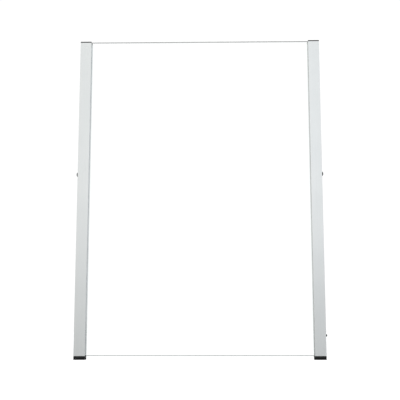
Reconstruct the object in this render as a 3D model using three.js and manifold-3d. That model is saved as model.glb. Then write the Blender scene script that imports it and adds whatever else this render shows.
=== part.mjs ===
// A counter-top sneeze guard: a clear panel that slides up and down in two aluminium posts.
//
// Millimetres, +Z up, +X to the right of someone facing the guard, who stands at -Y.
// The origin is on the counter, midway between the posts.
// Each post assembly is drawn in a plan of its own: u runs from the post's outer side inwards,
// v from its front face backwards. The right one is the left one mirrored.
import * as THREE from "three";
import { mergeVertices } from "three/addons/utils/BufferGeometryUtils.js";
import Module from "manifold-3d";

const wasm = await Module();
wasm.setup();

// Overall size
const GUARD_WIDTH = 610;
const GUARD_HEIGHT = 802;
const GAP = 0.25; // left between pieces that touch

// Posts
const POST_WIDTH = 28;
const POST_DEPTH = 25;
const POST_CORNER = 0.6;
const WALL = 2;

// Panel
const PANEL_THICKNESS = 4.5;
const PANEL_EDGE_U = 13; // how far inside the post's outer side the panel ends
const PANEL_CORNER = 4;
const PANEL_EDGE_RADIUS = 1.6;
const PANEL_ABOVE_CAP = 1.6; // how far its top edge stands above the caps' undersides

// The slot for the panel, the neck behind it and the nut channel behind the neck
const STRIP_WALL = 1;
const STRIP_RECESS = 0.4;
const SLOT_WIDTH = PANEL_THICKNESS + 2 * (STRIP_WALL + 2 * GAP);
const SLOT_V = WALL + SLOT_WIDTH / 2; // the panel's middle plane
const NECK_START = 10.5;
const NECK_END = 11.7;
const NECK_WIDTH = 5.1;
const CHANNEL_WIDTH = 8.5;

// The rear chamber, with a C-shaped screw port on each side wall
const CHAMBER_START = 11.5;
const CHAMBER_END = POST_DEPTH - WALL;
const CHAMBER_V = (CHAMBER_START + CHAMBER_END) / 2;
const PORT_OUTER = 3.6;
const PORT_INNER = 1.65;
const PORT_INSET = 2.9; // from the side wall to the port's axis
const PORT_MOUTH = 1.8;
const PLUG_WIDTH = POST_WIDTH - 2 * (WALL + PORT_INSET + PORT_OUTER + GAP);
const PLUG_DEPTH = CHAMBER_END - CHAMBER_START - 2 * GAP;

// Feet and caps
const PAD_TOP = 3;
const FOOT_TOP = 8.6;
const SPIGOT_HEIGHT = 13;
const CAP_PLATE = 2.4;
const CAP_NOTCH_GAP = 0.5;
const CHAMBER_PLUG = 14;
const CHANNEL_PLUG = 8;
const PLUG_WALL = 1.6;

// Fixings in the feet: 3.9 mm self-tapping screws, and M5 inserts for bolts from under the counter
const FOOT_SCREW = {
  shank: 1.35,
  clearance: 1.9,
  head: 3,
  headHeight: 2.4,
  headRoom: 0.4,
  slot: 0.9, // both its width and its depth
  length: 20,
  recess: 3.2,
};
const INSERT = { outer: 3.1, bore: 2.1, length: 9 };

// Side screws: M5 on both posts at clamp height, M3 low on the right post
const CLAMP = {
  z: 455.3,
  shank: 2.4,
  hole: 2.8,
  head: 5.5,
  headHeight: 2.6,
  rim: 0.9, // the height of the flange under the dome
  dome: 4.8,
  crown: 2.4, // the flat top of the dome
  socket: 1.7,
  socketDepth: 1.3,
  nutThickness: 2.7,
  shoeLength: 24,
};
const LOCK = {
  z: 58,
  shank: 1.4,
  hole: 1.75,
  head: 2.75,
  headHeight: 2.7,
  rim: 2.4,
  dome: 2.75,
  crown: 2.4,
  socket: 1.4,
  socketDepth: 1.4,
  nutThickness: 2.4,
  shoeLength: 12,
};
const NUT_SIZE = 8;
const SHOE_U = 7.4;
const SHOE_FLANGE = 2.3;
const SHOE_POCKET = 1.2;
const SHOE_ROOM = 1; // left in the strip's window above and below a shoe
const THREAD_GAP = 0.25;

const SIDES = 32;
const HEXAGON = 6;
const ARC_STEPS = 5;
const DOME_STEPS = 5;
const OVERRUN = 5; // how far a cutting body runs past what it cuts

const POST_BOTTOM = FOOT_TOP + GAP;
const POST_TOP = GUARD_HEIGHT - CAP_PLATE - GAP;
const PANEL_TOP = GUARD_HEIGHT - CAP_PLATE + PANEL_ABOVE_CAP;
const CENTRE_U = POST_WIDTH / 2;
const PORTS_U = [WALL + PORT_INSET, POST_WIDTH - WALL - PORT_INSET];

// Finishes

function finish(color, roughness, metalness, extra = {}) {
  return () => new THREE.MeshStandardMaterial({ color, roughness, metalness, ...extra });
}

const anodised = finish(0xd7dad9, 0.42, 0.85);
const clear = finish(0xf4f8f7, 0.05, 0, { transparent: true, opacity: 0.12 });
const greyStrip = finish(0xc9cccb, 0.6, 0);
const blackPlastic = finish(0x1e1f20, 0.5, 0);
const rubber = finish(0x101111, 0.85, 0);
const blackSteel = finish(0x151617, 0.35, 0.6);
const zincSteel = finish(0xb4b7b8, 0.35, 0.9);
const brass = finish(0xb8964a, 0.35, 0.9);
const nylon = finish(0xe9e7df, 0.55, 0);

// Solids

function toSolid(geometry) {
  geometry.deleteAttribute("normal");
  geometry.deleteAttribute("uv");
  const merged = mergeVertices(geometry, 1e-4);
  const corners = merged.index.array;
  const kept = [];
  for (let i = 0; i < corners.length; i += 3) {
    const [a, b, c] = corners.slice(i, i + 3);
    if (a !== b && b !== c && c !== a) kept.push(a, b, c);
  }
  return new wasm.Manifold(
    new wasm.Mesh({
      numProp: 3,
      vertProperties: new Float32Array(merged.attributes.position.array),
      triVerts: new Uint32Array(kept),
    }),
  );
}

// The solid as a geometry. Mirrored, its u coordinates change sign and its faces are turned to face out.
function toGeometry(solid, mirrored = false) {
  const { vertProperties, triVerts } = solid.getMesh();
  const positions = Float32Array.from(vertProperties);
  const corners = Uint32Array.from(triVerts);
  if (mirrored) {
    for (let i = 0; i < positions.length; i += 3) positions[i] = -positions[i];
    for (let i = 0; i < corners.length; i += 3) [corners[i], corners[i + 1]] = [corners[i + 1], corners[i]];
  }
  const geometry = new THREE.BufferGeometry();
  geometry.setAttribute("position", new THREE.BufferAttribute(positions, 3));
  geometry.setIndex(new THREE.BufferAttribute(corners, 1));
  geometry.computeVertexNormals();
  return geometry;
}

// The post's rounded outline, raised from z0 to z1.
function footprint(z0, z1) {
  const r = POST_CORNER;
  const outline = new THREE.Shape();
  outline.moveTo(r, 0);
  outline.lineTo(POST_WIDTH - r, 0);
  outline.absarc(POST_WIDTH - r, r, r, -Math.PI / 2, 0, false);
  outline.lineTo(POST_WIDTH, POST_DEPTH - r);
  outline.absarc(POST_WIDTH - r, POST_DEPTH - r, r, 0, Math.PI / 2, false);
  outline.lineTo(r, POST_DEPTH);
  outline.absarc(r, POST_DEPTH - r, r, Math.PI / 2, Math.PI, false);
  outline.lineTo(0, r);
  outline.absarc(r, r, r, Math.PI, 1.5 * Math.PI, false);
  const geometry = new THREE.ExtrudeGeometry(outline, {
    depth: z1 - z0,
    bevelEnabled: false,
    curveSegments: ARC_STEPS,
  });
  geometry.translate(0, 0, z0);
  return toSolid(geometry);
}

function block([u0, u1], [v0, v1], [z0, z1]) {
  const geometry = new THREE.BoxGeometry(u1 - u0, v1 - v0, z1 - z0);
  geometry.translate((u0 + u1) / 2, (v0 + v1) / 2, (z0 + z1) / 2);
  return toSolid(geometry);
}

// The two ends of a length centred on a place.
function around(middle, length) {
  return [middle - length / 2, middle + length / 2];
}

// A round bar standing at (u, v).
function upright(radius, u, v, [z0, z1]) {
  const geometry = new THREE.CylinderGeometry(radius, radius, z1 - z0, SIDES);
  geometry.rotateX(Math.PI / 2);
  geometry.translate(u, v, (z0 + z1) / 2);
  return toSolid(geometry);
}

// A bar lying along u in the panel's middle plane, at height z.
function crossways(radius, [u0, u1], z, sides = SIDES) {
  const geometry = new THREE.CylinderGeometry(radius, radius, u1 - u0, sides);
  geometry.rotateZ(-Math.PI / 2);
  geometry.translate((u0 + u1) / 2, SLOT_V, z);
  return toSolid(geometry);
}

// Pieces of a post assembly, each in its (u, v, z) plan

function screwPort(u, inwards) {
  const span = [POST_BOTTOM - OVERRUN, POST_TOP + OVERRUN];
  const bore = upright(PORT_INNER, u, CHAMBER_V, span);
  const far = u + inwards * (PORT_OUTER + GAP);
  const mouth = block([Math.min(u, far), Math.max(u, far)], around(CHAMBER_V, PORT_MOUTH), span);
  return { boss: upright(PORT_OUTER, u, CHAMBER_V, span), opening: bore.add(mouth) };
}

function post(sideScrews) {
  const span = [POST_BOTTOM - OVERRUN, POST_TOP + OVERRUN];
  let chamber = block([WALL, POST_WIDTH - WALL], [CHAMBER_START, CHAMBER_END], span);
  for (const [index, u] of PORTS_U.entries()) {
    const { boss, opening } = screwPort(u, index === 0 ? 1 : -1);
    chamber = chamber.subtract(boss).add(opening);
  }
  let body = footprint(POST_BOTTOM, POST_TOP)
    .subtract(chamber)
    .subtract(block([WALL, NECK_START], around(SLOT_V, CHANNEL_WIDTH), span))
    .subtract(block([NECK_START - GAP, NECK_END + GAP], around(SLOT_V, NECK_WIDTH), span))
    .subtract(block([NECK_END, POST_WIDTH + OVERRUN], around(SLOT_V, SLOT_WIDTH), span));
  for (const screw of sideScrews) {
    body = body.subtract(crossways(screw.hole, [-OVERRUN, WALL + GAP], screw.z));
  }
  return body;
}

// The U-shaped strip between the slot and the panel, with a window in its web for each shoe.
function glazingStrip(sideScrews) {
  const web = [NECK_END + GAP, PANEL_EDGE_U - GAP];
  const mouth = POST_WIDTH - STRIP_RECESS;
  const ends = [POST_BOTTOM, POST_TOP];
  const outerWidth = SLOT_WIDTH - 2 * GAP;
  let strip = block([web[0], mouth], around(SLOT_V, outerWidth), ends).subtract(
    block([web[1], mouth + OVERRUN], around(SLOT_V, outerWidth - 2 * STRIP_WALL), [0, GUARD_HEIGHT]),
  );
  for (const screw of sideScrews) {
    const window = around(screw.z, screw.shoeLength + 2 * SHOE_ROOM);
    strip = strip.subtract(block([web[0] - OVERRUN, web[1] + GAP], around(SLOT_V, NECK_WIDTH), window));
  }
  return strip;
}

// A plate with a notch for the panel, a hollow plug in the rear chamber and one in the nut channel.
function topCap() {
  const under = GUARD_HEIGHT - CAP_PLATE;
  const chamberPlug = block(
    around(CENTRE_U, PLUG_WIDTH),
    around(CHAMBER_V, PLUG_DEPTH),
    [under - CHAMBER_PLUG, under + GAP],
  );
  const chamberHollow = block(
    around(CENTRE_U, PLUG_WIDTH - 2 * PLUG_WALL),
    around(CHAMBER_V, PLUG_DEPTH - 2 * PLUG_WALL),
    [under - CHAMBER_PLUG - OVERRUN, under],
  );
  const channelPlug = block(
    [WALL + GAP, NECK_START - GAP],
    around(SLOT_V, CHANNEL_WIDTH - 2 * GAP),
    [under - CHANNEL_PLUG, under + GAP],
  );
  const notch = block(
    [PANEL_EDGE_U - CAP_NOTCH_GAP, POST_WIDTH + OVERRUN],
    around(SLOT_V, PANEL_THICKNESS + 2 * CAP_NOTCH_GAP),
    [under - OVERRUN, GUARD_HEIGHT + OVERRUN],
  );
  return footprint(under, GUARD_HEIGHT)
    .add(chamberPlug)
    .subtract(chamberHollow)
    .add(channelPlug)
    .subtract(notch);
}

function foot() {
  const spigot = block(
    around(CENTRE_U, PLUG_WIDTH),
    around(CHAMBER_V, PLUG_DEPTH),
    [FOOT_TOP - GAP, FOOT_TOP + SPIGOT_HEIGHT],
  );
  const through = [PAD_TOP - OVERRUN, FOOT_TOP + SPIGOT_HEIGHT + OVERRUN];
  let body = footprint(PAD_TOP, FOOT_TOP)
    .add(spigot)
    .subtract(upright(INSERT.outer + GAP, CENTRE_U, CHAMBER_V, through));
  for (const u of PORTS_U) {
    const recess = [PAD_TOP - OVERRUN, PAD_TOP + FOOT_SCREW.recess];
    body = body
      .subtract(upright(FOOT_SCREW.head + FOOT_SCREW.headRoom, u, CHAMBER_V, recess))
      .subtract(upright(FOOT_SCREW.clearance, u, CHAMBER_V, through));
  }
  return body;
}

function footPad() {
  const boltHole = upright(INSERT.outer, CENTRE_U, CHAMBER_V, [-OVERRUN, PAD_TOP]);
  return footprint(0, PAD_TOP - GAP).subtract(boltHole);
}

function footScrew(u) {
  const headTop = PAD_TOP + FOOT_SCREW.recess - GAP;
  const head = upright(FOOT_SCREW.head, u, CHAMBER_V, [headTop - FOOT_SCREW.headHeight, headTop]);
  const shank = upright(FOOT_SCREW.shank, u, CHAMBER_V, [headTop - GAP, headTop + FOOT_SCREW.length]);
  const slot = block(
    around(u, 2 * (FOOT_SCREW.head + OVERRUN)),
    around(CHAMBER_V, FOOT_SCREW.slot),
    [headTop - FOOT_SCREW.headHeight - OVERRUN, headTop - FOOT_SCREW.headHeight + FOOT_SCREW.slot],
  );
  return head.add(shank).subtract(slot);
}

function footInsert() {
  const length = [PAD_TOP + GAP, PAD_TOP + GAP + INSERT.length];
  return upright(INSERT.outer, CENTRE_U, CHAMBER_V, length).subtract(
    upright(INSERT.bore, CENTRE_U, CHAMBER_V, [0, length[1] + OVERRUN]),
  );
}

// Head, shank and tip turned in one, with a hexagon socket. A dome curves in to a flat crown, and the
// clamp screws have a flange under it.
function sideScrew(screw) {
  const seat = -GAP;
  const crown = seat - screw.headHeight;
  const tip = SHOE_U + SHOE_POCKET - GAP;
  const profile = [new THREE.Vector2(0, crown)];
  for (let step = 0; step <= DOME_STEPS; step += 1) {
    const angle = (Math.PI / 2) * (step / DOME_STEPS);
    profile.push(
      new THREE.Vector2(
        screw.crown + (screw.dome - screw.crown) * Math.sin(angle),
        crown + (screw.headHeight - screw.rim) * (1 - Math.cos(angle)),
      ),
    );
  }
  if (screw.head > screw.dome) {
    profile.push(new THREE.Vector2(screw.head, seat - screw.rim));
  }
  profile.push(
    new THREE.Vector2(screw.head, seat),
    new THREE.Vector2(screw.shank, seat),
    new THREE.Vector2(screw.shank, tip),
    new THREE.Vector2(0, tip),
  );
  const turned = new THREE.LatheGeometry(profile, SIDES);
  turned.rotateZ(-Math.PI / 2);
  turned.translate(0, SLOT_V, screw.z);
  const socket = crossways(screw.socket, [crown - OVERRUN, crown + screw.socketDepth], screw.z, HEXAGON);
  return toSolid(turned).subtract(socket);
}

function squareNut(screw) {
  const thickness = [WALL + GAP, WALL + GAP + screw.nutThickness];
  return block(thickness, around(SLOT_V, NUT_SIZE), around(screw.z, NUT_SIZE)).subtract(
    crossways(screw.shank + THREAD_GAP, [0, thickness[1] + OVERRUN], screw.z),
  );
}

// A T-shaped block: its flange stays in the nut channel and its stem reaches the panel's edge.
function pressureShoe(screw) {
  const flangeEnd = SHOE_U + SHOE_FLANGE;
  const length = around(screw.z, screw.shoeLength);
  return block([SHOE_U, flangeEnd], around(SLOT_V, CHANNEL_WIDTH - 2 * GAP), length)
    .add(block([flangeEnd - GAP, PANEL_EDGE_U - GAP], around(SLOT_V, NECK_WIDTH - 2 * GAP), length))
    .subtract(crossways(screw.shank + THREAD_GAP, [0, SHOE_U + SHOE_POCKET], screw.z));
}

// The panel stands across the guard, so it is drawn from the front: x to the right, y up.
function panel() {
  const half = GUARD_WIDTH / 2 - PANEL_EDGE_U;
  const r = PANEL_CORNER;
  const outline = new THREE.Shape();
  outline.moveTo(r - half, POST_BOTTOM);
  outline.lineTo(half - r, POST_BOTTOM);
  outline.absarc(half - r, POST_BOTTOM + r, r, -Math.PI / 2, 0, false);
  outline.lineTo(half, PANEL_TOP - r);
  outline.absarc(half - r, PANEL_TOP - r, r, 0, Math.PI / 2, false);
  outline.lineTo(r - half, PANEL_TOP);
  outline.absarc(r - half, PANEL_TOP - r, r, Math.PI / 2, Math.PI, false);
  outline.lineTo(-half, POST_BOTTOM + r);
  outline.absarc(r - half, POST_BOTTOM + r, r, Math.PI, 1.5 * Math.PI, false);
  const geometry = new THREE.ExtrudeGeometry(outline, {
    depth: PANEL_THICKNESS - 2 * PANEL_EDGE_RADIUS,
    bevelThickness: PANEL_EDGE_RADIUS,
    bevelSize: PANEL_EDGE_RADIUS,
    bevelOffset: -PANEL_EDGE_RADIUS,
    bevelSegments: 3,
    curveSegments: ARC_STEPS,
  });
  geometry.translate(0, 0, PANEL_EDGE_RADIUS - PANEL_THICKNESS / 2);
  return toSolid(geometry);
}

// Assembly

function addMesh(group, name, geometry, makeMaterial) {
  const mesh = new THREE.Mesh(geometry, makeMaterial());
  mesh.name = name;
  group.add(mesh);
  return mesh;
}

function postAssembly(side, sideScrews) {
  const mirrored = side === "right";
  const group = new THREE.Group();
  group.position.set(((mirrored ? 1 : -1) * GUARD_WIDTH) / 2, -POST_DEPTH / 2, 0);
  const add = (name, solid, makeMaterial) =>
    addMesh(group, name, toGeometry(solid, mirrored), makeMaterial);

  add(`${side}_post`, post(sideScrews), anodised);
  add(`${side}_gasket`, glazingStrip(sideScrews), greyStrip);
  add(`${side}_top_cap`, topCap(), blackPlastic);
  add(`${side}_foot`, foot(), blackPlastic);
  add(`${side}_foot_pad`, footPad(), rubber);
  add(`${side}_foot_insert`, footInsert(), brass);
  add(`${side}_outer_foot_screw`, footScrew(PORTS_U[0]), zincSteel);
  add(`${side}_inner_foot_screw`, footScrew(PORTS_U[1]), zincSteel);
  add(`${side}_clamp_screw`, sideScrew(CLAMP), blackSteel);
  add(`${side}_clamp_nut`, squareNut(CLAMP), zincSteel);
  add(`${side}_clamp_shoe`, pressureShoe(CLAMP), nylon);
  if (sideScrews.includes(LOCK)) {
    add("lock_screw", sideScrew(LOCK), blackSteel);
    add("lock_nut_plate", squareNut(LOCK), zincSteel);
    add("lock_shoe", pressureShoe(LOCK), nylon);
  }
  return group;
}

const guard = new THREE.Group();
guard.add(postAssembly("left", [CLAMP]));
guard.add(postAssembly("right", [CLAMP, LOCK]));

const clearPanel = addMesh(guard, "clear_panel", toGeometry(panel()), clear);
clearPanel.rotation.x = Math.PI / 2;
clearPanel.position.y = SLOT_V - POST_DEPTH / 2;

export default guard;
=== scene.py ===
"""The looks of a counter-top sneeze guard: a clear panel that slides in two aluminium posts.

Metres, +Z up. Someone facing the guard stands at -Y, with +X to the right.
Each post assembly is drawn in a plan of its own: u runs from the post's outer side inwards and
v from its front face backwards. The right one mirrors the left one, but all threads are right-handed.
"""

import math

import bmesh
import bpy
from mathutils import Matrix, Vector


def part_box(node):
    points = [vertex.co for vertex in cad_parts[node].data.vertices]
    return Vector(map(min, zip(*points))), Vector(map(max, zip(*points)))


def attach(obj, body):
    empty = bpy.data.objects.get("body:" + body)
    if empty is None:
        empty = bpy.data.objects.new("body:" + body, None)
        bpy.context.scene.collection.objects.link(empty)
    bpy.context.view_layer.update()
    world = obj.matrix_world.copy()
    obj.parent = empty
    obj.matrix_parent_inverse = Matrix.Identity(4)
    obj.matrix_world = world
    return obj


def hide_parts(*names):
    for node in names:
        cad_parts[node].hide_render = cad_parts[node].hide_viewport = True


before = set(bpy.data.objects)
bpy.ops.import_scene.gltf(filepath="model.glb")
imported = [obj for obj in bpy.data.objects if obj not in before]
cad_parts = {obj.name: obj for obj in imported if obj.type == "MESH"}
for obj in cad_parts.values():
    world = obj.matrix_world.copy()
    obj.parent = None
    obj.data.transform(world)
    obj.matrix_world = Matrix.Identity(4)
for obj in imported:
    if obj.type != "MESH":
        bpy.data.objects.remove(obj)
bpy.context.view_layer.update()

MM = 0.001
TAU = 2 * math.pi
GAP = 0.25 * MM  # left between pieces that touch on the real thing
SEAT_GAP = 0.03 * MM  # left under the side screws' heads, where light would show through a wider one
SMALL = 1 * MM  # how far a cutting body runs past what it cuts
SIDES = ("left", "right")


# ---------------------------------------------------------------------------------------------
# Places and sizes, from the frame


def size_of(node):
    low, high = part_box(node)
    return high - low


def middle_of(node):
    low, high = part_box(node)
    return (low + high) / 2


POST_LOW, POST_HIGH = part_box("left_post")
POST = POST_HIGH - POST_LOW
HALF_WIDTH = -POST_LOW.x
FRONT = POST_LOW.y
SLOT_V = middle_of("clear_panel").y - FRONT
CHAMBER_V = middle_of("left_foot_insert").y - FRONT
CENTRE_U = POST.x / 2
PORTS_U = [middle_of(f"left_{end}_foot_screw").x + HALF_WIDTH for end in ("outer", "inner")]

WALL = 2 * MM
POST_CORNER = 0.6 * MM
PAD_CORNER = 1.2 * MM
PANEL_CORNER = 4 * MM
PANEL_EDGE_RADIUS = 1.6 * MM
SLOT_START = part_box("left_gasket")[0].x + HALF_WIDTH - GAP
SLOT_WIDTH = size_of("left_gasket").y + 2 * GAP
NECK_START = 10.5 * MM
NECK_WIDTH = 5.1 * MM
CHANNEL_WIDTH = size_of("left_clamp_shoe").y + 2 * GAP
CHAMBER_START = 11.5 * MM
CHAMBER_END = POST.y - WALL
PORT_OUTER = 3.6 * MM  # radius of the bosses that the foot screws go up into
PORT_INNER = 1.65 * MM  # radius of their bores
PORT_MOUTH = 1.8 * MM  # the gap along the open side of each
PLUG_WIDTH = 10.5 * MM
PLUG_DEPTH = CHAMBER_END - CHAMBER_START - 2 * GAP
FILLET = 0.3 * MM
END_CHAMFER = ((0.2 * MM, 0), (0, 0.2 * MM))  # (inset, drop) pairs, as prism takes them
SQUARE_EDGE = ((0, 0),)


# ---------------------------------------------------------------------------------------------
# Outlines. A loop is a list of points with material on its left.

LEAST_LEAN = 0.3  # keeps a point at a sharp corner from running away when its loop is inset


def rounded(corners, steps=5):
    """A loop through corners (x, y, radius), with an arc of that radius at each."""
    loop = []
    for index, (x, y, radius) in enumerate(corners):
        corner = Vector((x, y))
        if not radius:
            loop.append(corner)
            continue
        before = (Vector(corners[index - 1][:2]) - corner).normalized()
        after = (Vector(corners[(index + 1) % len(corners)][:2]) - corner).normalized()
        half = before.angle(after) / 2
        centre = corner + (before + after).normalized() * (radius / math.sin(half))
        start = corner + before * (radius / math.tan(half)) - centre
        end = corner + after * (radius / math.tan(half)) - centre
        first = math.atan2(start.y, start.x)
        turn = math.remainder(math.atan2(end.y, end.x) - first, TAU)
        for step in range(steps + 1):
            angle = first + turn * step / steps
            loop.append(centre + radius * Vector((math.cos(angle), math.sin(angle))))
    return loop


def inset(loop, distance):
    """The loop moved into the material by a distance."""
    shifted = []
    for index, point in enumerate(loop):
        before = (point - loop[index - 1]).normalized()
        after = (loop[(index + 1) % len(loop)] - point).normalized()
        inwards = Vector((-before.y - after.y, before.x + after.x)).normalized()
        lean = max(LEAST_LEAN, inwards.dot(Vector((-before.y, before.x))))
        shifted.append(point + inwards * (distance / lean))
    return shifted


def arc(centre, radius, first, last, steps):
    """Points on an arc, its angles in turns, from first to last."""
    angles = [TAU * (first + (last - first) * step / steps) for step in range(steps + 1)]
    return [Vector(centre) + radius * Vector((math.cos(a), math.sin(a))) for a in angles]


def rectangle(us, vs, radius=0.0):
    (u0, u1), (v0, v1) = us, vs
    return rounded([(u0, v0, radius), (u1, v0, radius), (u1, v1, radius), (u0, v1, radius)])


def circle(centre, radius, steps=40):
    return arc(centre, radius, 0, 1, steps)[:-1]


def around(middle, length):
    return middle - length / 2, middle + length / 2


def hole(loop):
    """A loop with its material outside it."""
    return list(reversed(loop))


# ---------------------------------------------------------------------------------------------
# Meshes

SHARP_ANGLE = math.radians(30)
THREAD_SLOPE = 1.35  # over 1, so that a thread's crest is flat
THREAD_ROOT = 0.15  # and its root as well


def bridge(mesh, lower, upper):
    """A band of faces between two rings, either of which may be a single point."""
    count = max(len(lower), len(upper))
    for i in range(count):
        j = (i + 1) % count
        corners = [lower[i % len(lower)], lower[j % len(lower)]]
        corners += [upper[j % len(upper)], upper[i % len(upper)]]
        mesh.faces.new(list(dict.fromkeys(corners)))


def finished(name, mesh):
    """The mesh as an object, smooth but for its sharp edges."""
    bmesh.ops.recalc_face_normals(mesh, faces=mesh.faces)
    data = bpy.data.meshes.new(name)
    mesh.to_mesh(data)
    mesh.free()
    piece = bpy.data.objects.new(name, data)
    bpy.context.scene.collection.objects.link(piece)
    smooth(piece)
    return piece


def smooth(piece):
    piece.data.shade_smooth()
    piece.data.set_sharp_from_angle(angle=SHARP_ANGLE)


def quarter_round(radius, steps=3):
    """(inset, drop) pairs of an edge rounded by a quarter circle, from its face to its side."""
    angles = [math.pi / 2 * step / steps for step in range(steps + 1)]
    return [(radius * (1 - math.sin(a)), radius * (1 - math.cos(a))) for a in angles]


def prism(name, loops, low, high, low_edge=SQUARE_EDGE, high_edge=SQUARE_EDGE):
    """A bar between two heights. Its ends' edges are worked to (inset, drop) pairs."""
    mesh = bmesh.new()
    end_edges = ([], [])
    for loop in loops:
        levels = [(inward, low + drop) for inward, drop in low_edge]
        levels += [(inward, high - drop) for inward, drop in reversed(high_edge)]
        rings = []
        for inward, z in levels:
            points = inset(loop, inward) if inward else loop
            rings.append([mesh.verts.new((p.x, p.y, z)) for p in points])
        for lower, upper in zip(rings, rings[1:]):
            bridge(mesh, lower, upper)
        for edges, ring in zip(end_edges, (rings[0], rings[-1])):
            edges += [mesh.edges.get((a, b)) for a, b in zip(ring, ring[1:] + ring[:1])]
    for edges in end_edges:
        bmesh.ops.triangle_fill(mesh, edges=edges, use_beauty=True)
    return finished(name, mesh)


def turned(name, rings, segments=48, closed=False):
    """A turned piece, its axis along +Z. A ring is (place along the axis, radius), and its radius is
    a number or a function of the angle. A closed piece is a tube whose last ring meets its first."""
    mesh = bmesh.new()
    made = []
    for along, radius in rings:
        if radius == 0:
            made.append([mesh.verts.new((0, 0, along))])
            continue
        ring = []
        for step in range(segments):
            angle = TAU * step / segments
            reach = radius(angle) if callable(radius) else radius
            ring.append(mesh.verts.new((reach * math.cos(angle), reach * math.sin(angle), along)))
        made.append(ring)
    for lower, upper in zip(made, made[1:]):
        bridge(mesh, lower, upper)
    if closed:
        bridge(mesh, made[-1], made[0])
    return finished(name, mesh)


def polygon(sides, reach, first=0.0):
    """The radius of a regular polygon as a function of the angle; reach is to the middle of a side."""
    part = TAU / sides
    return lambda angle: reach / math.cos((angle - first + part / 2) % part - part / 2)


def thread(start, end, root, crest, pitch, steps=6):
    """The rings of a right-hand thread between two places along an axis, fading at both ends."""

    def radius_at(along):
        fade = max(0.0, min(1.0, (along - start) / pitch, (end - along) / pitch))

        def radius(angle):
            phase = (along / pitch - angle / TAU) % 1
            ridge = THREAD_SLOPE * (1 - abs(2 * phase - 1)) - THREAD_ROOT
            ridge = min(1.0, max(0.0, ridge))
            return root + (crest - root) * fade * ridge

        return radius

    count = max(2, round((end - start) / pitch * steps))
    places = [start + (end - start) * k / count for k in range(count + 1)]
    return [(along, radius_at(along)) for along in places]


def applied(piece):
    """The piece's mesh with its modifiers worked into it."""
    bpy.context.view_layer.update()
    worked = piece.evaluated_get(bpy.context.evaluated_depsgraph_get())
    data = bpy.data.meshes.new_from_object(worked)
    piece.modifiers.clear()
    piece.data = data
    return piece


def combined(piece, tools, operation):
    """The piece with the tools joined on or cut away."""
    for tool in tools:
        modifier = piece.modifiers.new(operation, "BOOLEAN")
        modifier.operation = operation
        modifier.solver = "EXACT"
        modifier.object = tool
    applied(piece)
    for tool in tools:
        bpy.data.objects.remove(tool)
    smooth(piece)
    return piece


def moved(piece, matrix):
    """The piece moved, its faces kept facing out if the move mirrors it."""
    piece.data.transform(matrix)
    if matrix.determinant() < 0:
        piece.data.flip_normals()
    piece.data.update()
    return piece


def aimed(piece, place, direction):
    """A turned piece stood at a place, its axis along a direction."""
    turn = Vector((0, 0, 1)).rotation_difference(Vector(direction)).to_matrix().to_4x4()
    return moved(piece, Matrix.Translation(place) @ turn)


def crossways(name, rings, u, z):
    """A turned piece lying along u in the panel's middle plane."""
    return aimed(turned(name, rings), (u, SLOT_V, z), (1, 0, 0))


def into_place(piece, side):
    """From the plan of a post assembly to its place on the guard."""
    outwards = -1 if side == "left" else 1
    plan = Matrix.Translation((outwards * HALF_WIDTH, FRONT, 0))
    return moved(piece, plan @ Matrix.Diagonal((-outwards, 1, 1, 1)))


def weighted(piece):
    """Flat faces shade flat up to their rounded edges."""
    modifier = piece.modifiers.new("shading", "WEIGHTED_NORMAL")
    modifier.keep_sharp = True
    return piece


def fitted(piece, body, node, slot):
    """The piece on its body, standing for its CAD node and wearing its slot's material."""
    piece.data.materials.clear()
    piece.data.materials.append(MATERIALS[slot])
    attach(piece, body)
    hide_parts(node)
    return piece


# ---------------------------------------------------------------------------------------------
# Materials

MIX_FACTOR, MIX_FIRST, MIX_SECOND = 0, 6, 7  # inputs of a Mix node that mixes colours
MIX_RESULT = 2  # its output
WHITE = (1, 1, 1)
ACRYLIC_IOR = 1.49


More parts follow.
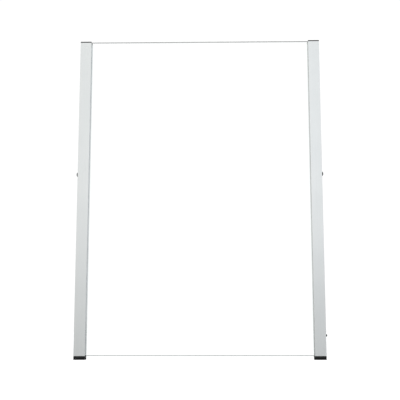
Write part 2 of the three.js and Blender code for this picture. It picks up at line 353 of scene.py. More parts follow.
class Nodes:
    """A material's node tree, wired by name."""

    def __init__(self, name):
        self.material = bpy.data.materials.new(name)
        self.material.use_nodes = True
        self.tree = self.material.node_tree
        self.tree.nodes.clear()
        self.output = self.tree.nodes.new("ShaderNodeOutputMaterial")
        self.place = self.tree.nodes.new("ShaderNodeTexCoord").outputs["Object"]

    def add(self, kind, inputs=None, **settings):
        node = self.tree.nodes.new(kind)
        for key, value in settings.items():
            setattr(node, key, value)
        for key, value in (inputs or {}).items():
            if isinstance(value, bpy.types.NodeSocket):
                self.tree.links.new(value, node.inputs[key])
            else:
                node.inputs[key].default_value = value
        return node

    def noise(self, scale, detail, roughness=0.5, vector=None):
        inputs = {
            "Vector": self.place if vector is None else vector,
            "Scale": scale,
            "Detail": detail,
            "Roughness": roughness,
        }
        return self.add("ShaderNodeTexNoise", inputs).outputs[0]

    def streaks(self, scales, detail, roughness=0.6):
        """Noise with a scale of its own along each axis."""
        inputs = {"Vector": self.place, "Scale": scales}
        stretched = self.add("ShaderNodeMapping", inputs).outputs[0]
        return self.noise(1.0, detail, roughness, stretched)

    def ramp(self, value, first, last, low=0.3, high=0.7):
        """Value from low to high as a blend of two colours."""
        node = self.add("ShaderNodeValToRGB", {"Fac": value})
        ends = node.color_ramp.elements
        ends[0].position, ends[1].position = low, high
        ends[0].color, ends[1].color = (*first, 1), (*last, 1)
        return node.outputs[0]

    def multiplied(self, one, other):
        """The product of two colours."""
        inputs = {MIX_FACTOR: 1.0, MIX_FIRST: one, MIX_SECOND: other}
        node = self.add("ShaderNodeMix", inputs, data_type="RGBA", blend_type="MULTIPLY")
        return node.outputs[MIX_RESULT]

    def span(self, value, first, last, low=0.3, high=0.7):
        """Value from low to high as a number from first to last."""
        inputs = {"Value": value, "From Min": low, "From Max": high, "To Min": first, "To Max": last}
        return self.add("ShaderNodeMapRange", inputs).outputs[0]

    def bump(self, height, distance, strength, normal=None):
        inputs = {"Height": height, "Distance": distance, "Strength": strength}
        if normal:
            inputs["Normal"] = normal
        return self.add("ShaderNodeBump", inputs).outputs[0]

    def principled(self, inputs):
        shader = self.add("ShaderNodeBsdfPrincipled", inputs)
        self.show(shader)
        return shader

    def show(self, shader):
        self.tree.links.new(shader.outputs[0], self.output.inputs["Surface"])


def anodised_aluminium():
    """Satin anodising over the fine lengthwise lines that the extrusion die leaves."""
    nodes = Nodes("anodised_aluminium")
    lines = nodes.streaks((2600, 2600, 5), detail=4.0)
    grain = nodes.noise(scale=9000, detail=2.0)
    clouds = nodes.noise(scale=9, detail=2.0)
    tone = nodes.ramp(lines, (0.765, 0.775, 0.775), (0.815, 0.822, 0.82))
    cloudy = nodes.ramp(clouds, (0.97, 0.972, 0.975), WHITE, low=0.35, high=0.65)
    etched = nodes.bump(grain, distance=0.004 * MM, strength=0.5)
    nodes.principled(
        {
            "Base Color": nodes.multiplied(tone, cloudy),
            "Metallic": 1.0,
            "Roughness": nodes.span(lines, 0.29, 0.37),
            "Normal": nodes.bump(lines, distance=0.006 * MM, strength=0.6, normal=etched),
        }
    )
    return nodes.material


def clear_acrylic():
    """Polished sheet: what is behind it, and a gloss that grows as it is seen more edge on.
    Only its outward faces are glossy, because the view through it doesn't bend."""
    nodes = Nodes("clear_acrylic")
    wipes = nodes.streaks((6, 6, 22), detail=4.0)
    gloss = nodes.add(
        "ShaderNodeBsdfGlossy",
        {"Color": (*WHITE, 1), "Roughness": nodes.span(wipes, 0.01, 0.05)},
    )
    through = nodes.add("ShaderNodeBsdfTransparent", {"Color": (0.985, 0.992, 0.99, 1)})
    fresnel = nodes.add("ShaderNodeFresnel", {"IOR": ACRYLIC_IOR})
    inside = nodes.add("ShaderNodeNewGeometry").outputs["Backfacing"]
    outside = nodes.add("ShaderNodeMath", {0: 1.0, 1: inside}, operation="SUBTRACT").outputs[0]
    share = nodes.add("ShaderNodeMath", {0: fresnel.outputs[0], 1: outside}, operation="MULTIPLY")
    nodes.show(
        nodes.add(
            "ShaderNodeMixShader",
            {0: share.outputs[0], 1: through.outputs[0], 2: gloss.outputs[0]},
        )
    )
    return nodes.material


def acrylic_edge(name, alpha, dark, light):
    """The sheet's worked edge, which gathers the grey-green of the sheet's depth."""
    nodes = Nodes(name)
    saw = nodes.streaks((300, 1500, 300), detail=3.0)
    nodes.principled(
        {
            "Base Color": nodes.ramp(saw, dark, light),
            "Roughness": nodes.span(saw, 0.08, 0.22),
            "IOR": ACRYLIC_IOR,
            "Alpha": alpha,
        }
    )
    return nodes.material


def grey_strip():
    """Soft light grey glazing strip, with the faint drag lines of its extrusion."""
    nodes = Nodes("grey_strip")
    drag = nodes.streaks((3000, 3000, 12), detail=3.0)
    bloom = nodes.noise(scale=60, detail=3.0)
    tone = nodes.ramp(bloom, (0.5, 0.52, 0.52), (0.6, 0.61, 0.61), low=0.35, high=0.65)
    nodes.principled(
        {
            "Base Color": tone,
            "Roughness": nodes.span(bloom, 0.55, 0.72),
            "Sheen Weight": 0.15,
            "Normal": nodes.bump(drag, distance=0.01 * MM, strength=0.8),
        }
    )
    return nodes.material


def black_plastic():
    """Moulded nylon with a spark-eroded texture."""
    nodes = Nodes("black_plastic")
    texture = nodes.noise(scale=3800, detail=3.0, roughness=0.6)
    flow = nodes.noise(scale=70, detail=3.0)
    nodes.principled(
        {
            "Base Color": nodes.ramp(flow, (0.008, 0.008, 0.0085), (0.014, 0.014, 0.015)),
            "Roughness": nodes.span(texture, 0.42, 0.6),
            "Specular IOR Level": 0.25,
            "Normal": nodes.bump(texture, distance=0.02 * MM, strength=0.9),
        }
    )
    return nodes.material


def black_rubber():
    """Matt rubber with a trace of grey dust on it."""
    nodes = Nodes("black_rubber")
    dust = nodes.noise(scale=420, detail=5.0, roughness=0.7)
    skin = nodes.noise(scale=2500, detail=2.0)
    tone = nodes.ramp(dust, (0.004, 0.004, 0.0042), (0.018, 0.0175, 0.017), low=0.45, high=0.85)
    nodes.principled(
        {
            "Base Color": tone,
            "Roughness": nodes.span(dust, 0.75, 0.95),
            "Specular IOR Level": 0.12,
            "Normal": nodes.bump(skin, distance=0.03 * MM, strength=0.8),
        }
    )
    return nodes.material


def black_steel():
    """Black oxide on steel: brownish where it has rubbed thin."""
    nodes = Nodes("black_steel")
    rub = nodes.noise(scale=380, detail=4.0, roughness=0.6)
    turning = nodes.noise(scale=2600, detail=2.0)
    tone = nodes.ramp(rub, (0.01, 0.01, 0.0115), (0.035, 0.03, 0.026), low=0.4, high=0.8)
    nodes.principled(
        {
            "Base Color": tone,
            "Metallic": 0.7,
            "Roughness": nodes.span(rub, 0.4, 0.28),
            "Normal": nodes.bump(turning, distance=0.006 * MM, strength=0.7),
        }
    )
    return nodes.material


def zinc_steel():
    """Zinc plating: a bluish bright metal with slightly duller flecks."""
    nodes = Nodes("zinc_steel")
    flecks = nodes.add("ShaderNodeTexVoronoi", {"Vector": nodes.place, "Scale": 1400})
    film = nodes.noise(scale=300, detail=4.0)
    nodes.principled(
        {
            "Base Color": nodes.ramp(film, (0.52, 0.54, 0.57), (0.66, 0.67, 0.66)),
            "Metallic": 1.0,
            "Roughness": nodes.span(flecks.outputs["Distance"], 0.24, 0.42, low=0.0, high=0.6),
            "Normal": nodes.bump(film, distance=0.01 * MM, strength=0.5),
        }
    )
    return nodes.material


def brass():
    """Turned brass, slightly dulled."""
    nodes = Nodes("brass")
    tarnish = nodes.noise(scale=240, detail=4.0, roughness=0.6)
    cuts = nodes.streaks((60, 60, 9000), detail=2.0, roughness=0.5)
    nodes.principled(
        {
            "Base Color": nodes.ramp(tarnish, (0.62, 0.44, 0.17), (0.45, 0.31, 0.12), high=0.75),
            "Metallic": 1.0,
            "Roughness": nodes.span(tarnish, 0.24, 0.42),
            "Normal": nodes.bump(cuts, distance=0.008 * MM, strength=0.6),
        }
    )
    return nodes.material


def nylon():
    """Natural nylon: waxy, with light passing a little way in."""
    nodes = Nodes("nylon")
    grain = nodes.noise(scale=1500, detail=3.0)
    flow = nodes.noise(scale=90, detail=2.0)
    nodes.principled(
        {
            "Base Color": nodes.ramp(flow, (0.76, 0.74, 0.68), (0.84, 0.83, 0.79)),
            "Roughness": nodes.span(grain, 0.45, 0.6),
            "Subsurface Weight": 0.15,
            "Subsurface Scale": 1 * MM,
            "Normal": nodes.bump(grain, distance=0.01 * MM, strength=0.6),
        }
    )
    return nodes.material


MATERIALS = {
    "anodised_aluminium": anodised_aluminium(),
    "clear_acrylic": clear_acrylic(),
    "grey_strip": grey_strip(),
    "black_plastic": black_plastic(),
    "black_rubber": black_rubber(),
    "black_steel": black_steel(),
    "zinc_steel": zinc_steel(),
    "brass": brass(),
    "nylon": nylon(),
}
EDGE_LIGHT = (0.36, 0.37, 0.365)
POLISHED_EDGE = acrylic_edge("polished_edge", alpha=0.65, dark=(0.3, 0.31, 0.305), light=EDGE_LIGHT)
# The bottom edge's copy is darker and more opaque than the top's: partly a saw-cut finish, partly
# painted shade.
SAWN_EDGE_WITH_PAINTED_SHADE = acrylic_edge("sawn_edge_with_painted_shade", alpha=0.75, dark=(0.28, 0.29, 0.285), light=EDGE_LIGHT)


# ---------------------------------------------------------------------------------------------
# Posts and strips

# Head, shank, core and hole are radii. Shoe is the height of the screw's shoe, and proud is the height
# of its head, which sits on SEAT_GAP.
SCREWS = {
    "clamp": {
        "z": middle_of("left_clamp_screw").z,
        "head": size_of("left_clamp_screw").z / 2,
        "shank": 2.4 * MM,
        "core": 2.02 * MM,
        "pitch": 0.8 * MM,
        "hole": 2.8 * MM,
        "shoe": size_of("left_clamp_shoe").z,
        "proud": -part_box("left_clamp_screw")[0].x - HALF_WIDTH - SEAT_GAP,
    },
    "lock": {
        "z": middle_of("lock_screw").z,
        "head": size_of("lock_screw").z / 2,
        "shank": 1.4 * MM,
        "core": 1.16 * MM,
        "pitch": 0.5 * MM,
        "hole": 1.75 * MM,
        "shoe": size_of("lock_shoe").z,
        "proud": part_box("lock_screw")[1].x - HALF_WIDTH - SEAT_GAP,
    },
}
SCREWS_OF = {"left": ("clamp",), "right": ("clamp", "lock")}


def post_outline():
    """The outer outline, in through the slot and its neck to the nut channel, and out again."""
    slot = around(SLOT_V, SLOT_WIDTH)
    neck = around(SLOT_V, NECK_WIDTH)
    channel = around(SLOT_V, CHANNEL_WIDTH)
    return rounded(
        [
            (0, 0, POST_CORNER),
            (POST.x, 0, POST_CORNER),
            (POST.x, slot[0], FILLET),
            (SLOT_START, slot[0], FILLET),
            (SLOT_START, neck[0], FILLET),
            (NECK_START, neck[0], FILLET),
            (NECK_START, channel[0], FILLET),
            (WALL, channel[0], FILLET),
            (WALL, channel[1], FILLET),
            (NECK_START, channel[1], FILLET),
            (NECK_START, neck[1], FILLET),
            (SLOT_START, neck[1], FILLET),
            (SLOT_START, slot[1], FILLET),
            (POST.x, slot[1], FILLET),
            (POST.x, POST.y, POST_CORNER),
            (0, POST.y, POST_CORNER),
        ]
    )


def port_wall(u, inwards):
    """One side of the chamber from back to front: round the boss on its wall, in and out of its bore.
    inwards is 1 for the port near the post's outer side and -1 for the other."""
    wall_u = WALL if inwards > 0 else POST.x - WALL
    reach = abs(u - wall_u)
    spread = math.sqrt(PORT_OUTER**2 - reach**2)
    boss = math.atan2(spread, -reach) / TAU
    outer_mouth = math.asin(PORT_MOUTH / 2 / PORT_OUTER) / TAU
    inner_mouth = math.asin(PORT_MOUTH / 2 / PORT_INNER) / TAU
    boss_steps, bore_steps = 14, 22
    points = arc((0, 0), PORT_OUTER, boss, outer_mouth, boss_steps)
    points += arc((0, 0), PORT_INNER, inner_mouth, 1 - inner_mouth, bore_steps)
    points += arc((0, 0), PORT_OUTER, -outer_mouth, -boss, boss_steps)
    return [Vector((u + inwards * p.x, CHAMBER_V + p.y)) for p in points]


def chamber_loop():
    """The rear chamber as a hole, with a C-shaped screw port on each side wall."""
    near_side = port_wall(PORTS_U[0], 1)
    far_side = port_wall(PORTS_U[1], -1)
    far = POST.x - WALL
    loop = [Vector((WALL, CHAMBER_START)), Vector((far, CHAMBER_START))]
    loop += reversed(far_side)
    loop += [Vector((far, CHAMBER_END)), Vector((WALL, CHAMBER_END))]
    loop += near_side
    return hole(loop)


def wall_hole(screw):
    """What a drill and a countersink take out of the outer wall for a side screw."""
    lead = 0.35 * MM
    rings = [
        (-SMALL, 0),
        (-SMALL, screw["hole"] + lead + SMALL),
        (lead, screw["hole"]),
        (WALL + SMALL, screw["hole"]),
        (WALL + SMALL, 0),
    ]
    return crossways("drill", rings, 0, screw["z"])


def make_post(side):
    post = prism(
        f"{side}_post_extrusion",
        [post_outline(), chamber_loop()],
        POST_LOW.z,
        POST_HIGH.z,
        END_CHAMFER,
        END_CHAMFER,
    )
    combined(post, [wall_hole(SCREWS[name]) for name in SCREWS_OF[side]], "DIFFERENCE")
    weighted(into_place(post, side))
    fitted(post, "frame", f"{side}_post", "anodised_aluminium")


def strip_outline():
    """A U with rounded lips at its mouth, and three low ribs inside each leg to steady the panel."""
    low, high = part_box("left_gasket")
    start = low.x + HALF_WIDTH
    mouth = high.x + HALF_WIDTH
    front, back = low.y - FRONT, high.y - FRONT
    leg, web, inner_corner, lip = 1.0 * MM, 0.8 * MM, 0.2 * MM, 0.35 * MM
    rib, rib_half_width = 0.14 * MM, 0.45 * MM
    rib_places = (0.3, 0.55, 0.8)  # as shares of the depth
    inside_front = [(start + web, front + leg, inner_corner)]
    inside_back = [(start + web, back - leg, inner_corner)]
    for share in rib_places:
        at = start + share * (mouth - start)
        for shift, rise in ((-1, 0), (0, 1), (1, 0)):
            u = at + shift * rib_half_width
            inside_front.append((u, front + leg + rise * rib, 0))
            inside_back.append((u, back - leg - rise * rib, 0))
    corners = [(start, front, FILLET), (mouth, front, lip), (mouth, front + leg, lip)]
    corners += list(reversed(inside_front)) + inside_back
    corners += [(mouth, back - leg, lip), (mouth, back, lip), (start, back, FILLET)]
    return rounded(corners)


def make_strip(side):
    """The strip, with a window for each shoe to reach the panel through."""
    low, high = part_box(f"{side}_gasket")
    strip = prism(f"{side}_glazing_strip", [strip_outline()], low.z, high.z)
    windows = []
    start = SLOT_START + GAP
    wide, spare_height = NECK_WIDTH - 0.2 * MM, 2 * MM
    for name in SCREWS_OF[side]:
        screw = SCREWS[name]
        span = around(screw["z"], screw["shoe"] + spare_height)
        opening = rectangle((start - SMALL, start + SMALL), around(SLOT_V, wide))
        windows.append(prism("window", [opening], *span))
    combined(strip, windows, "DIFFERENCE")
    weighted(into_place(strip, side))
    fitted(strip, "frame", f"{side}_gasket", "grey_strip")


# ---------------------------------------------------------------------------------------------
# Caps, feet and pads

MOULDED_STEPS = 6  # facets of a moulding's corners
RIB_PLACES = (0.25, 0.75)  # of a plug's crush ribs, as shares of its width
FOOT_SCREW_HEAD = 2.4 * MM  # the height of the foot screws' heads


def footprint(corner):
    corners = ((0, 0), (POST.x, 0), (POST.x, POST.y), (0, POST.y))
    return rounded([(u, v, corner) for u, v in corners], MOULDED_STEPS)


def chamber_plug(name, low, high, lead_edge, taper_top, wall=0.0):
    """A plug in the rear chamber between the screw ports, with two crush ribs on each of its long faces.
    With a wall it is hollow."""
    us, vs = around(CENTRE_U, PLUG_WIDTH), around(CHAMBER_V, PLUG_DEPTH)
    corner, inner_corner = 0.6 * MM, 0.5 * MM
    rib = 0.18 * MM
    half = 2 * rib
    front, back = vs[0] + rib, vs[1] - rib
    corners = [(us[0], front, corner)]
    for share in RIB_PLACES:
        at = us[0] + share * PLUG_WIDTH
        corners += [(at - half, front, 0), (at, front - rib, 0), (at + half, front, 0)]
    corners += [(us[1], front, corner), (us[1], back, corner)]
    for share in reversed(RIB_PLACES):
        at = us[0] + share * PLUG_WIDTH
        corners += [(at + half, back, 0), (at, back + rib, 0), (at - half, back, 0)]
    corners += [(us[0], back, corner)]
    loops = [rounded(corners)]
    if wall:
        inner = rectangle((us[0] + wall, us[1] - wall), (vs[0] + wall, vs[1] - wall), inner_corner)
        loops.append(hole(inner))
    edges = (SQUARE_EDGE, lead_edge) if taper_top else (lead_edge, SQUARE_EDGE)
    return prism(name, loops, low, high, *edges)


def make_cap(side):
    """A plate with a notch for the panel, and two plugs that push into the post."""
    low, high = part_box(f"{side}_top_cap")
    under = POST_HIGH.z + GAP
    lead = ((0.5 * MM, 0), (0, 0.9 * MM))
    spare = 0.5 * MM
    notch_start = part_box("clear_panel")[0].x + HALF_WIDTH - spare
    notch = around(SLOT_V, size_of("clear_panel").y + 2 * spare)
    mouth, top_edge = 0.8 * MM, 0.35 * MM
    plug_wall, plug_corner, plug_length = 1.6 * MM, 0.6 * MM, 8 * MM
    outline = [
        (0, 0, POST_CORNER),
        (POST.x, 0, POST_CORNER),
        (POST.x, notch[0], mouth),
        (notch_start, notch[0], FILLET),
        (notch_start, notch[1], FILLET),
        (POST.x, notch[1], mouth),
        (POST.x, POST.y, POST_CORNER),
        (0, POST.y, POST_CORNER),
    ]
    cap = prism(
        f"{side}_cap_moulding",
        [rounded(outline, MOULDED_STEPS)],
        under,
        high.z,
        END_CHAMFER,
        quarter_round(top_edge, steps=4),
    )
    plug = chamber_plug("plug", low.z, under + GAP, lead, taper_top=False, wall=plug_wall)
    channel = rectangle(
        (WALL + GAP, NECK_START - GAP),
        around(SLOT_V, CHANNEL_WIDTH - 2 * GAP),
        plug_corner,
    )
    channel_plug = prism("plug", [channel], under - plug_length, under + GAP, lead)
    combined(cap, [plug, channel_plug], "UNION")
    weighted(into_place(cap, side))
    fitted(cap, "frame", f"{side}_top_cap", "black_plastic")


def make_foot(side):
    """A block under the post with a spigot up into it, bored for the insert and the two foot screws."""
    low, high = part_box(f"{side}_foot")
    top = POST_LOW.z - GAP
    rim = quarter_round(0.5 * MM)
    lead = ((0.8 * MM, 0), (0, 1.4 * MM))
    insert = size_of(f"{side}_foot_insert").x / 2 + GAP
    clearance, head_clearance = 1.9 * MM, 0.4 * MM
    head = size_of(f"{side}_outer_foot_screw").x / 2 + head_clearance
    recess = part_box(f"{side}_outer_foot_screw")[0].z + FOOT_SCREW_HEAD + GAP
    foot = prism(f"{side}_foot_moulding", [footprint(POST_CORNER)], low.z, top, rim, rim)
    spigot = chamber_plug("spigot", top - SMALL, high.z, lead, taper_top=True)
    combined(foot, [spigot], "UNION")
    through = (low.z - SMALL, high.z + SMALL)
    bores = [prism("bore", [circle((CENTRE_U, CHAMBER_V), insert)], *through)]
    for u in PORTS_U:
        bores.append(prism("bore", [circle((u, CHAMBER_V), clearance)], *through))
        bores.append(prism("recess", [circle((u, CHAMBER_V), head)], low.z - SMALL, recess))
    combined(foot, bores, "DIFFERENCE")
    weighted(into_place(foot, side))
    fitted(foot, "frame", f"{side}_foot", "black_plastic")


def make_pad(side):
    """A rubber pad with a bevelled lower edge, grooves across its tread and a hole for a bolt."""
    low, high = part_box(f"{side}_foot_pad")
    bolt = 3.1 * MM
    bevel = ((0.4 * MM, 0), (0, 0.4 * MM))
    count, pitch, margin = 8, 3 * MM, 2.5 * MM
    groove_width, groove_corner, groove_depth = 1.1 * MM, 0.5 * MM, 0.7 * MM
    outline = [footprint(PAD_CORNER), hole(circle((CENTRE_U, CHAMBER_V), bolt))]
    pad = prism(f"{side}_tread_pad", outline, low.z, high.z, bevel, END_CHAMFER)
    grooves = []
    for step in range(count):
        v = POST.y / 2 + (step - (count - 1) / 2) * pitch
        across = rectangle((margin, POST.x - margin), around(v, groove_width), groove_corner)
        grooves.append(prism("groove", [across], low.z - SMALL, low.z + groove_depth))
    combined(pad, grooves, "DIFFERENCE")
    weighted(into_place(pad, side))
    fitted(pad, "frame", f"{side}_foot_pad", "black_rubber")


# ---------------------------------------------------------------------------------------------
# Fixings in the feet


def make_insert(side):
    """A brass tube, threaded inside and knurled outside in two bands with a groove between them."""
    low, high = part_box(f"{side}_foot_insert")
    outer = (high.x - low.x) / 2
    length = high.z - low.z
    bore, root, pitch, lead = 2.1 * MM, 2.45 * MM, 0.8 * MM, 0.4 * MM
    mouth = root + 0.15 * MM
    knurls, diamond, depth = 24, 0.8 * MM, 0.3 * MM
    end_rings = ((0, outer - 0.5 * MM), (0.3 * MM, outer - 0.2 * MM))
    knurl_starts, groove = 0.6 * MM, (length * 0.42, length * 0.58)

    def knurled(along):
        lean = math.pi * along / diamond

        def radius(angle):
            one = abs(math.sin(knurls / 2 * angle + lean))
            other = abs(math.sin(knurls / 2 * angle - lean))
            return outer - depth * (1 - min(one, other))

        return radius

    rings = [(0, mouth)] + thread(lead, length - lead, root, bore, pitch) + [(length, mouth)]
    rings += [(length - along, radius) for along, radius in end_rings]
    steps = 16
    for first, last in ((length - knurl_starts, groove[1]), (groove[0], knurl_starts)):
        places = [first + (last - first) * k / steps for k in range(1, steps)]
        rings.append((first, outer - depth))
        rings += [(z, knurled(z)) for z in places]
        rings.append((last, outer - depth))
    rings += reversed(end_rings)
    insert = turned(f"{side}_knurled_insert", rings, segments=96, closed=True)
    aimed(insert, (middle_of(f"{side}_foot_insert").x, FRONT + CHAMBER_V, low.z), (0, 0, 1))
    fitted(insert, "frame", f"{side}_foot_insert", "brass")


def make_foot_screw(side, end):
    """A pan-head tapping screw, slotted, with a coarse thread and a blunt point."""
    low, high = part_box(f"{side}_{end}_foot_screw")
    head = (high.x - low.x) / 2
    length = high.z - low.z
    head_round, rim, slot_width, slot_depth = 0.9 * MM, 0.15 * MM, 0.9 * MM, 0.9 * MM
    core, crest, pitch = 1.15 * MM, 1.55 * MM, 1.4 * MM
    thread_start, thread_end = FOOT_SCREW_HEAD + 0.6 * MM, length - 2 * MM
    taper, point, point_radius = 1.9 * MM, 0.6 * MM, 0.5 * MM
    rings = [(0, 0), (0, head / 2)]
    rings += [(drop, head - inward) for inward, drop in quarter_round(head_round, steps=5)]
    rings += [(FOOT_SCREW_HEAD - rim, head), (FOOT_SCREW_HEAD, head - rim)]
    rings += [(FOOT_SCREW_HEAD, core + FILLET), (FOOT_SCREW_HEAD + FILLET, core)]
    rings += thread(thread_start, thread_end, core, crest, pitch, steps=8)
    rings += [(length - taper, core), (length - point, point_radius), (length, 0)]
    screw = turned(f"{side}_{end}_tapping_screw", rings)
    across = rectangle((-head - SMALL, head + SMALL), around(0, slot_width))
    combined(screw, [prism("slot", [across], -SMALL, slot_depth)], "DIFFERENCE")
    aimed(screw, (middle_of(f"{side}_{end}_foot_screw").x, FRONT + CHAMBER_V, low.z), (0, 0, 1))
    fitted(screw, "frame", f"{side}_{end}_foot_screw", "zinc_steel")


# ---------------------------------------------------------------------------------------------
# Side screws, their nuts and shoes

CLEARANCE = 0.25 * MM  # round a side screw's shank


def stood_at_side(piece, node, side):
    """A screw or nut whose axis starts at the outer end of its node and runs inwards."""
    low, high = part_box(node)
    start = low.x if side == "left" else high.x
    inwards = 1 if side == "left" else -1
    return aimed(piece, (start, FRONT + SLOT_V, (low.z + high.z) / 2), (inwards, 0, 0))


def hexagon_socket(reach, depth, point, lead, flare):
    """The rings of a socket, from the point of its drill out to its chamfered mouth."""
    hexagon = polygon(6, reach)
    return [(depth + point, 0), (depth, hexagon), (lead, hexagon), (0, reach + flare)]


def button_head(screw):
    """A low dome with a hexagon socket, on a flange with softened edges."""
    head, height = screw["head"], screw["proud"]
    crown, base, flange = 2.4 * MM, 4.8 * MM, 1.1 * MM
    flange_round, rim = 0.3 * MM, 0.12 * MM
    steps = 10
    rings = hexagon_socket(
        reach=1.5 * MM, depth=1.3 * MM, point=0.35 * MM, lead=0.12 * MM, flare=0.32 * MM
    )
    for step in range(steps + 1):
        angle = math.pi / 2 * step / steps
        dome = (height - flange) * (1 - math.cos(angle))
        rings.append((dome, crown + (base - crown) * math.sin(angle)))
    rings += [(height - flange + drop, head - inward) for inward, drop in quarter_round(flange_round)]
    return rings + [(height - rim, head), (height, head - rim)]


def cap_head(screw):
    """A cylinder with a fine straight knurl, a chamfered top and a hexagon socket."""
    head, height = screw["head"], screw["proud"]
    knurls, knurl_depth = 24, 0.05 * MM
    band = head - 0.06 * MM  # radius at both ends of the knurl
    top_bevel, top_drop, knurl_start = 0.3 * MM, 0.25 * MM, 0.35 * MM
    seat_bevel, seat_drop, knurl_end = 0.2 * MM, 0.12 * MM, 0.3 * MM

    def knurl(angle):
        return head - knurl_depth * (0.5 - 0.5 * math.cos(knurls * angle))

    rings = hexagon_socket(
        reach=1.25 * MM, depth=1.4 * MM, point=0.3 * MM, lead=0.1 * MM, flare=0.25 * MM
    )
    rings += [(0, head - top_bevel), (top_drop, band), (knurl_start, knurl)]
    rings += [(height - knurl_end, knurl), (height - seat_drop, band)]
    return rings + [(height, head - seat_bevel)]


def make_side_screw(name, side, node, body, title, head_of, segments):
    """Head, threaded shank and chamfered tip."""
    screw = SCREWS[name]
    length, height = size_of(node).x, screw["proud"]
    shank, core = screw["shank"], screw["core"]
    thread_start, thread_end = height + 0.7 * MM, length - 0.9 * MM
    neck, relief = 0.6 * MM, 0.05 * MM
    tip, tip_chamfer = 0.5 * MM, 0.35 * MM
    rings = head_of(screw) + [(height, shank), (height + neck, shank - relief)]
    rings += thread(thread_start, thread_end, core, shank, screw["pitch"])
    rings += [(length - tip, core), (length, core - tip_chamfer), (length, 0)]
    piece = turned(title, rings, segments)
    stood_at_side(piece, node, side)
    fitted(piece, body, node, "black_steel")


def make_nut(name, side, node, title):
    """A square nut: chamfered corners on one face and a thread inside."""
    screw = SCREWS[name]
    low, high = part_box(node)
    thickness = high.x - low.x
    half = (high.z - low.z) / 2
    crest = screw["shank"] + CLEARANCE
    thread_depth, flare = 0.25 * MM, 0.2 * MM
    root = crest + thread_depth
    mouth = root + flare
    lead, rim, crown, bevel = 0.1 * MM, 0.2 * MM, 0.3 * MM, 0.5 * MM
    square = polygon(4, half)
    corner_cut = half * 1.22  # a square's corners would reach 1.41
    crown_slope, bevel_slope = 0.15 * MM, 0.45 * MM

    def crowned(angle):
        return min(square(angle), corner_cut) - crown_slope

    def bevelled(angle):
        return min(square(angle), corner_cut + bevel_slope)

    rings = [(0, mouth)]
    rings += thread(lead, thickness - lead, root, crest, screw["pitch"])
    rings += [(thickness, mouth), (thickness, crowned)]
    rings += [(thickness - crown, bevelled), (thickness - bevel, square)]
    rings += [(rim, square), (0, lambda angle: square(angle) - rim)]
    nut = turned(title, rings, segments=64, closed=True)
    stood_at_side(nut, node, side)
    fitted(nut, "frame", node, "zinc_steel")


def make_shoe(name, side, node, body, title):
    """A T-shaped moulding: its flange stays in the nut channel, its stem meets the panel's edge."""
    screw = SCREWS[name]
    low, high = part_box(node)
    start = HALF_WIDTH - max(abs(low.x), abs(high.x))
    end = HALF_WIDTH - min(abs(low.x), abs(high.x))
    flange, pocket_depth, pocket_chamfer = 2.3 * MM, 1.2 * MM, 0.25 * MM
    flange_end = start + flange
    wide = around(SLOT_V, high.y - low.y)
    narrow = around(SLOT_V, NECK_WIDTH - 2 * GAP)
    outline = [
        (start, wide[0], FILLET),
        (flange_end, wide[0], FILLET),
        (flange_end, narrow[0], FILLET),
        (end, narrow[0], FILLET),
        (end, narrow[1], FILLET),
        (flange_end, narrow[1], FILLET),
        (flange_end, wide[1], FILLET),
        (start, wide[1], FILLET),
    ]
    rim = quarter_round(0.4 * MM)
    shoe = prism(title, [rounded(outline)], low.z, high.z, rim, rim)
    pocket = screw["shank"] + CLEARANCE
    rings = [(-SMALL, 0), (-SMALL, pocket), (pocket_depth - 0.2 * MM, pocket)]
    rings += [(pocket_depth, pocket - pocket_chamfer), (pocket_depth, 0)]
    combined(shoe, [crossways("pocket", rings, start, screw["z"])], "DIFFERENCE")
    weighted(into_place(shoe, side))
    fitted(shoe, body, node, "nylon")


# ---------------------------------------------------------------------------------------------
# Panel


def make_panel():
    """A sheet with rounded corners, its edges rounded over: polished, but saw-cut along the bottom,
    where the edge is also made darker and more opaque as painted shade.
    """
    low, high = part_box("clear_panel")
    edge = quarter_round(PANEL_EDGE_RADIUS, steps=6)
    half = (high.x - low.x) / 2
    outline = [(-half, low.z), (half, low.z), (half, high.z), (-half, high.z)]
    loop = rounded([(x, z, PANEL_CORNER) for x, z in outline], steps=8)
    thickness = high.y - low.y
    panel = prism("acrylic_sheet", [loop], -thickness / 2, thickness / 2, edge, edge)
    upright = Matrix.Translation((0, FRONT + SLOT_V, 0)) @ Matrix.Rotation(math.pi / 2, 4, "X")
    weighted(moved(panel, upright))
    fitted(panel, "panel", "clear_panel", "clear_acrylic")
    panel.data.materials.append(POLISHED_EDGE)
    panel.data.materials.append(SAWN_EDGE_WITH_PAINTED_SHADE)
    sheet, polished, sawn_with_painted_shade = range(3)  # the materials in their order
    square_on = 0.999  # least y of the normals of the two large faces
    for face in panel.data.polygons:
        # Faces along the bottom take the darker, more opaque edge copy: a saw-cut finish and painted
        # shade.
        worked = sawn_with_painted_shade if face.center.z < low.z + PANEL_CORNER / 2 else polished
        face.material_index = sheet if abs(face.normal.y) > square_on else worked


# ---------------------------------------------------------------------------------------------
# Assembly

for side in SIDES:
    make_post(side)
    make_strip(side)
    make_cap(side)
    make_foot(side)
    make_pad(side)
    make_insert(side)
    for end in ("outer", "inner"):
        make_foot_screw(side, end)
    make_side_screw(
        "clamp",
        side,
        f"{side}_clamp_screw",
        f"{side}_clamp_turn",
        f"{side}_button_screw",
        button_head,
        segments=48,
    )
    make_nut("clamp", side, f"{side}_clamp_nut", f"{side}_square_nut")
    make_shoe("clamp", side, f"{side}_clamp_shoe", f"{side}_clamp_slide", f"{side}_pressure_shoe")

make_side_screw("lock", "right", "lock_screw", "lock_turn", "lock_cap_screw", cap_head, segments=96)
make_nut("lock", "right", "lock_nut_plate", "lock_square_nut")
make_shoe("lock", "right", "lock_shoe", "lock_slide", "lock_pressure_shoe")
make_panel()


# ---------------------------------------------------------------------------------------------
# Studio

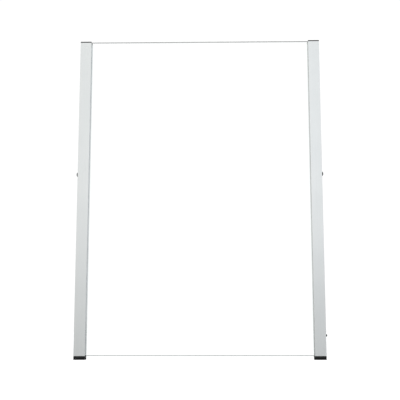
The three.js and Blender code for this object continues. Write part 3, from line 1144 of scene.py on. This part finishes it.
FLOOR_REACH = 30.0
FLOOR_TONE = 0.45
FLOOR_MOTTLE = 0.01
FLOOR_GLOW = 0.75
LEFT_TINT = (0.985, 1.0, 0.985)
RIGHT_TINT = (0.99, 1.025, 1.05)
TINT_SPAN = (-0.25, 0.25, 0, 1)  # from the left tint to the right one
DEPTH_SPAN = (-0.4, 0.5, 0.99, 0.8)  # the light's strength from in front to behind
BACKDROP = 1.05
LENS = 73.25  # millimetres, on a sensor 36 mm wide
SENSOR = 36.0
EYE = (0.0390, -2.0046, 0.0685)
CAMERA_TURN = (90 + 9.147, 0.027, 1.095)  # degrees: looking up, leaning, and turned to the left


def make_floor():
    """A plain pale floor, bright enough to run into the backdrop."""
    mesh = bmesh.new()
    reach = FLOOR_REACH
    corners = [(-reach, -reach, 0), (reach, -reach, 0), (reach, reach, 0), (-reach, reach, 0)]
    mesh.faces.new([mesh.verts.new(corner) for corner in corners])
    floor = finished("studio_floor", mesh)
    nodes = Nodes("pale_floor")
    darker, lighter = [(FLOOR_TONE + shift,) * 3 for shift in (-FLOOR_MOTTLE, FLOOR_MOTTLE)]
    mottled = nodes.ramp(nodes.noise(scale=3.0, detail=3.0), darker, lighter)
    paint = nodes.add("ShaderNodeBsdfDiffuse", {"Color": mottled})
    glow = nodes.add("ShaderNodeEmission", {"Color": (*WHITE, 1), "Strength": FLOOR_GLOW})
    lit = nodes.add("ShaderNodeAddShader", {0: paint.outputs[0], 1: glow.outputs[0]})
    ray = nodes.add("ShaderNodeLightPath")
    nodes.show(
        nodes.add(
            "ShaderNodeMixShader",
            {0: ray.outputs["Is Camera Ray"], 1: paint.outputs[0], 2: lit.outputs[0]},
        )
    )
    floor.data.materials.append(nodes.material)


def make_world():
    """White to the eye. As light, brighter from in front than from behind, and bluer from the right."""
    world = bpy.data.worlds.new("studio")
    bpy.context.scene.world = world
    world.use_nodes = True
    tree = world.node_tree
    tree.nodes.clear()

    def add(kind, **settings):
        node = tree.nodes.new(kind)
        for key, value in settings.items():
            setattr(node, key, value)
        return node

    direction = add("ShaderNodeTexCoord").outputs["Generated"]
    parts = add("ShaderNodeSeparateXYZ")
    tree.links.new(direction, parts.inputs[0])
    tint = add("ShaderNodeValToRGB")
    ends = tint.color_ramp.elements
    ends[0].position, ends[1].position = 0.0, 1.0
    ends[0].color, ends[1].color = (*LEFT_TINT, 1), (*RIGHT_TINT, 1)
    sideways = add("ShaderNodeMapRange")
    tree.links.new(parts.outputs["X"], sideways.inputs["Value"])
    tree.links.new(sideways.outputs[0], tint.inputs["Fac"])
    depth = add("ShaderNodeMapRange", interpolation_type="SMOOTHSTEP")
    tree.links.new(parts.outputs["Y"], depth.inputs["Value"])
    for ramp, values in ((sideways, TINT_SPAN), (depth, DEPTH_SPAN)):
        for key, value in zip(("From Min", "From Max", "To Min", "To Max"), values):
            ramp.inputs[key].default_value = value
    light = add("ShaderNodeBackground")
    tree.links.new(tint.outputs[0], light.inputs["Color"])
    tree.links.new(depth.outputs[0], light.inputs["Strength"])
    backdrop = add("ShaderNodeBackground")
    backdrop.inputs["Color"].default_value = (*WHITE, 1)
    backdrop.inputs["Strength"].default_value = BACKDROP
    ray = add("ShaderNodeLightPath")
    mix = add("ShaderNodeMixShader")
    tree.links.new(ray.outputs["Is Camera Ray"], mix.inputs[0])
    tree.links.new(light.outputs[0], mix.inputs[1])
    tree.links.new(backdrop.outputs[0], mix.inputs[2])
    tree.links.new(mix.outputs[0], add("ShaderNodeOutputWorld").inputs["Surface"])


def make_light(name, place, target, size, power):
    """A large soft lamp aimed at a target."""
    lamp = bpy.data.lights.new(name, "AREA")
    lamp.shape = "DISK"
    lamp.size = size
    lamp.energy = power
    stand = bpy.data.objects.new(name, lamp)
    stand.location = place
    stand.rotation_euler = (Vector(target) - Vector(place)).to_track_quat("-Z", "Y").to_euler()
    bpy.context.scene.collection.objects.link(stand)


def make_camera():
    camera = bpy.data.cameras.new("camera")
    camera.lens = LENS
    camera.sensor_width = SENSOR
    stand = bpy.data.objects.new("camera", camera)
    stand.location = EYE
    stand.rotation_euler = [math.radians(angle) for angle in CAMERA_TURN]
    bpy.context.scene.collection.objects.link(stand)
    bpy.context.scene.camera = stand


make_floor()
make_world()
make_light("overhead", place=(0.0, -0.8, 3.0), target=(0, 0, 0.4), size=2.0, power=4)
make_light("front", place=(0.0, -3.0, 0.95), target=(0, 0, 0.45), size=0.8, power=1.5)
make_camera()
bpy.context.scene.view_settings.view_transform = "Standard"
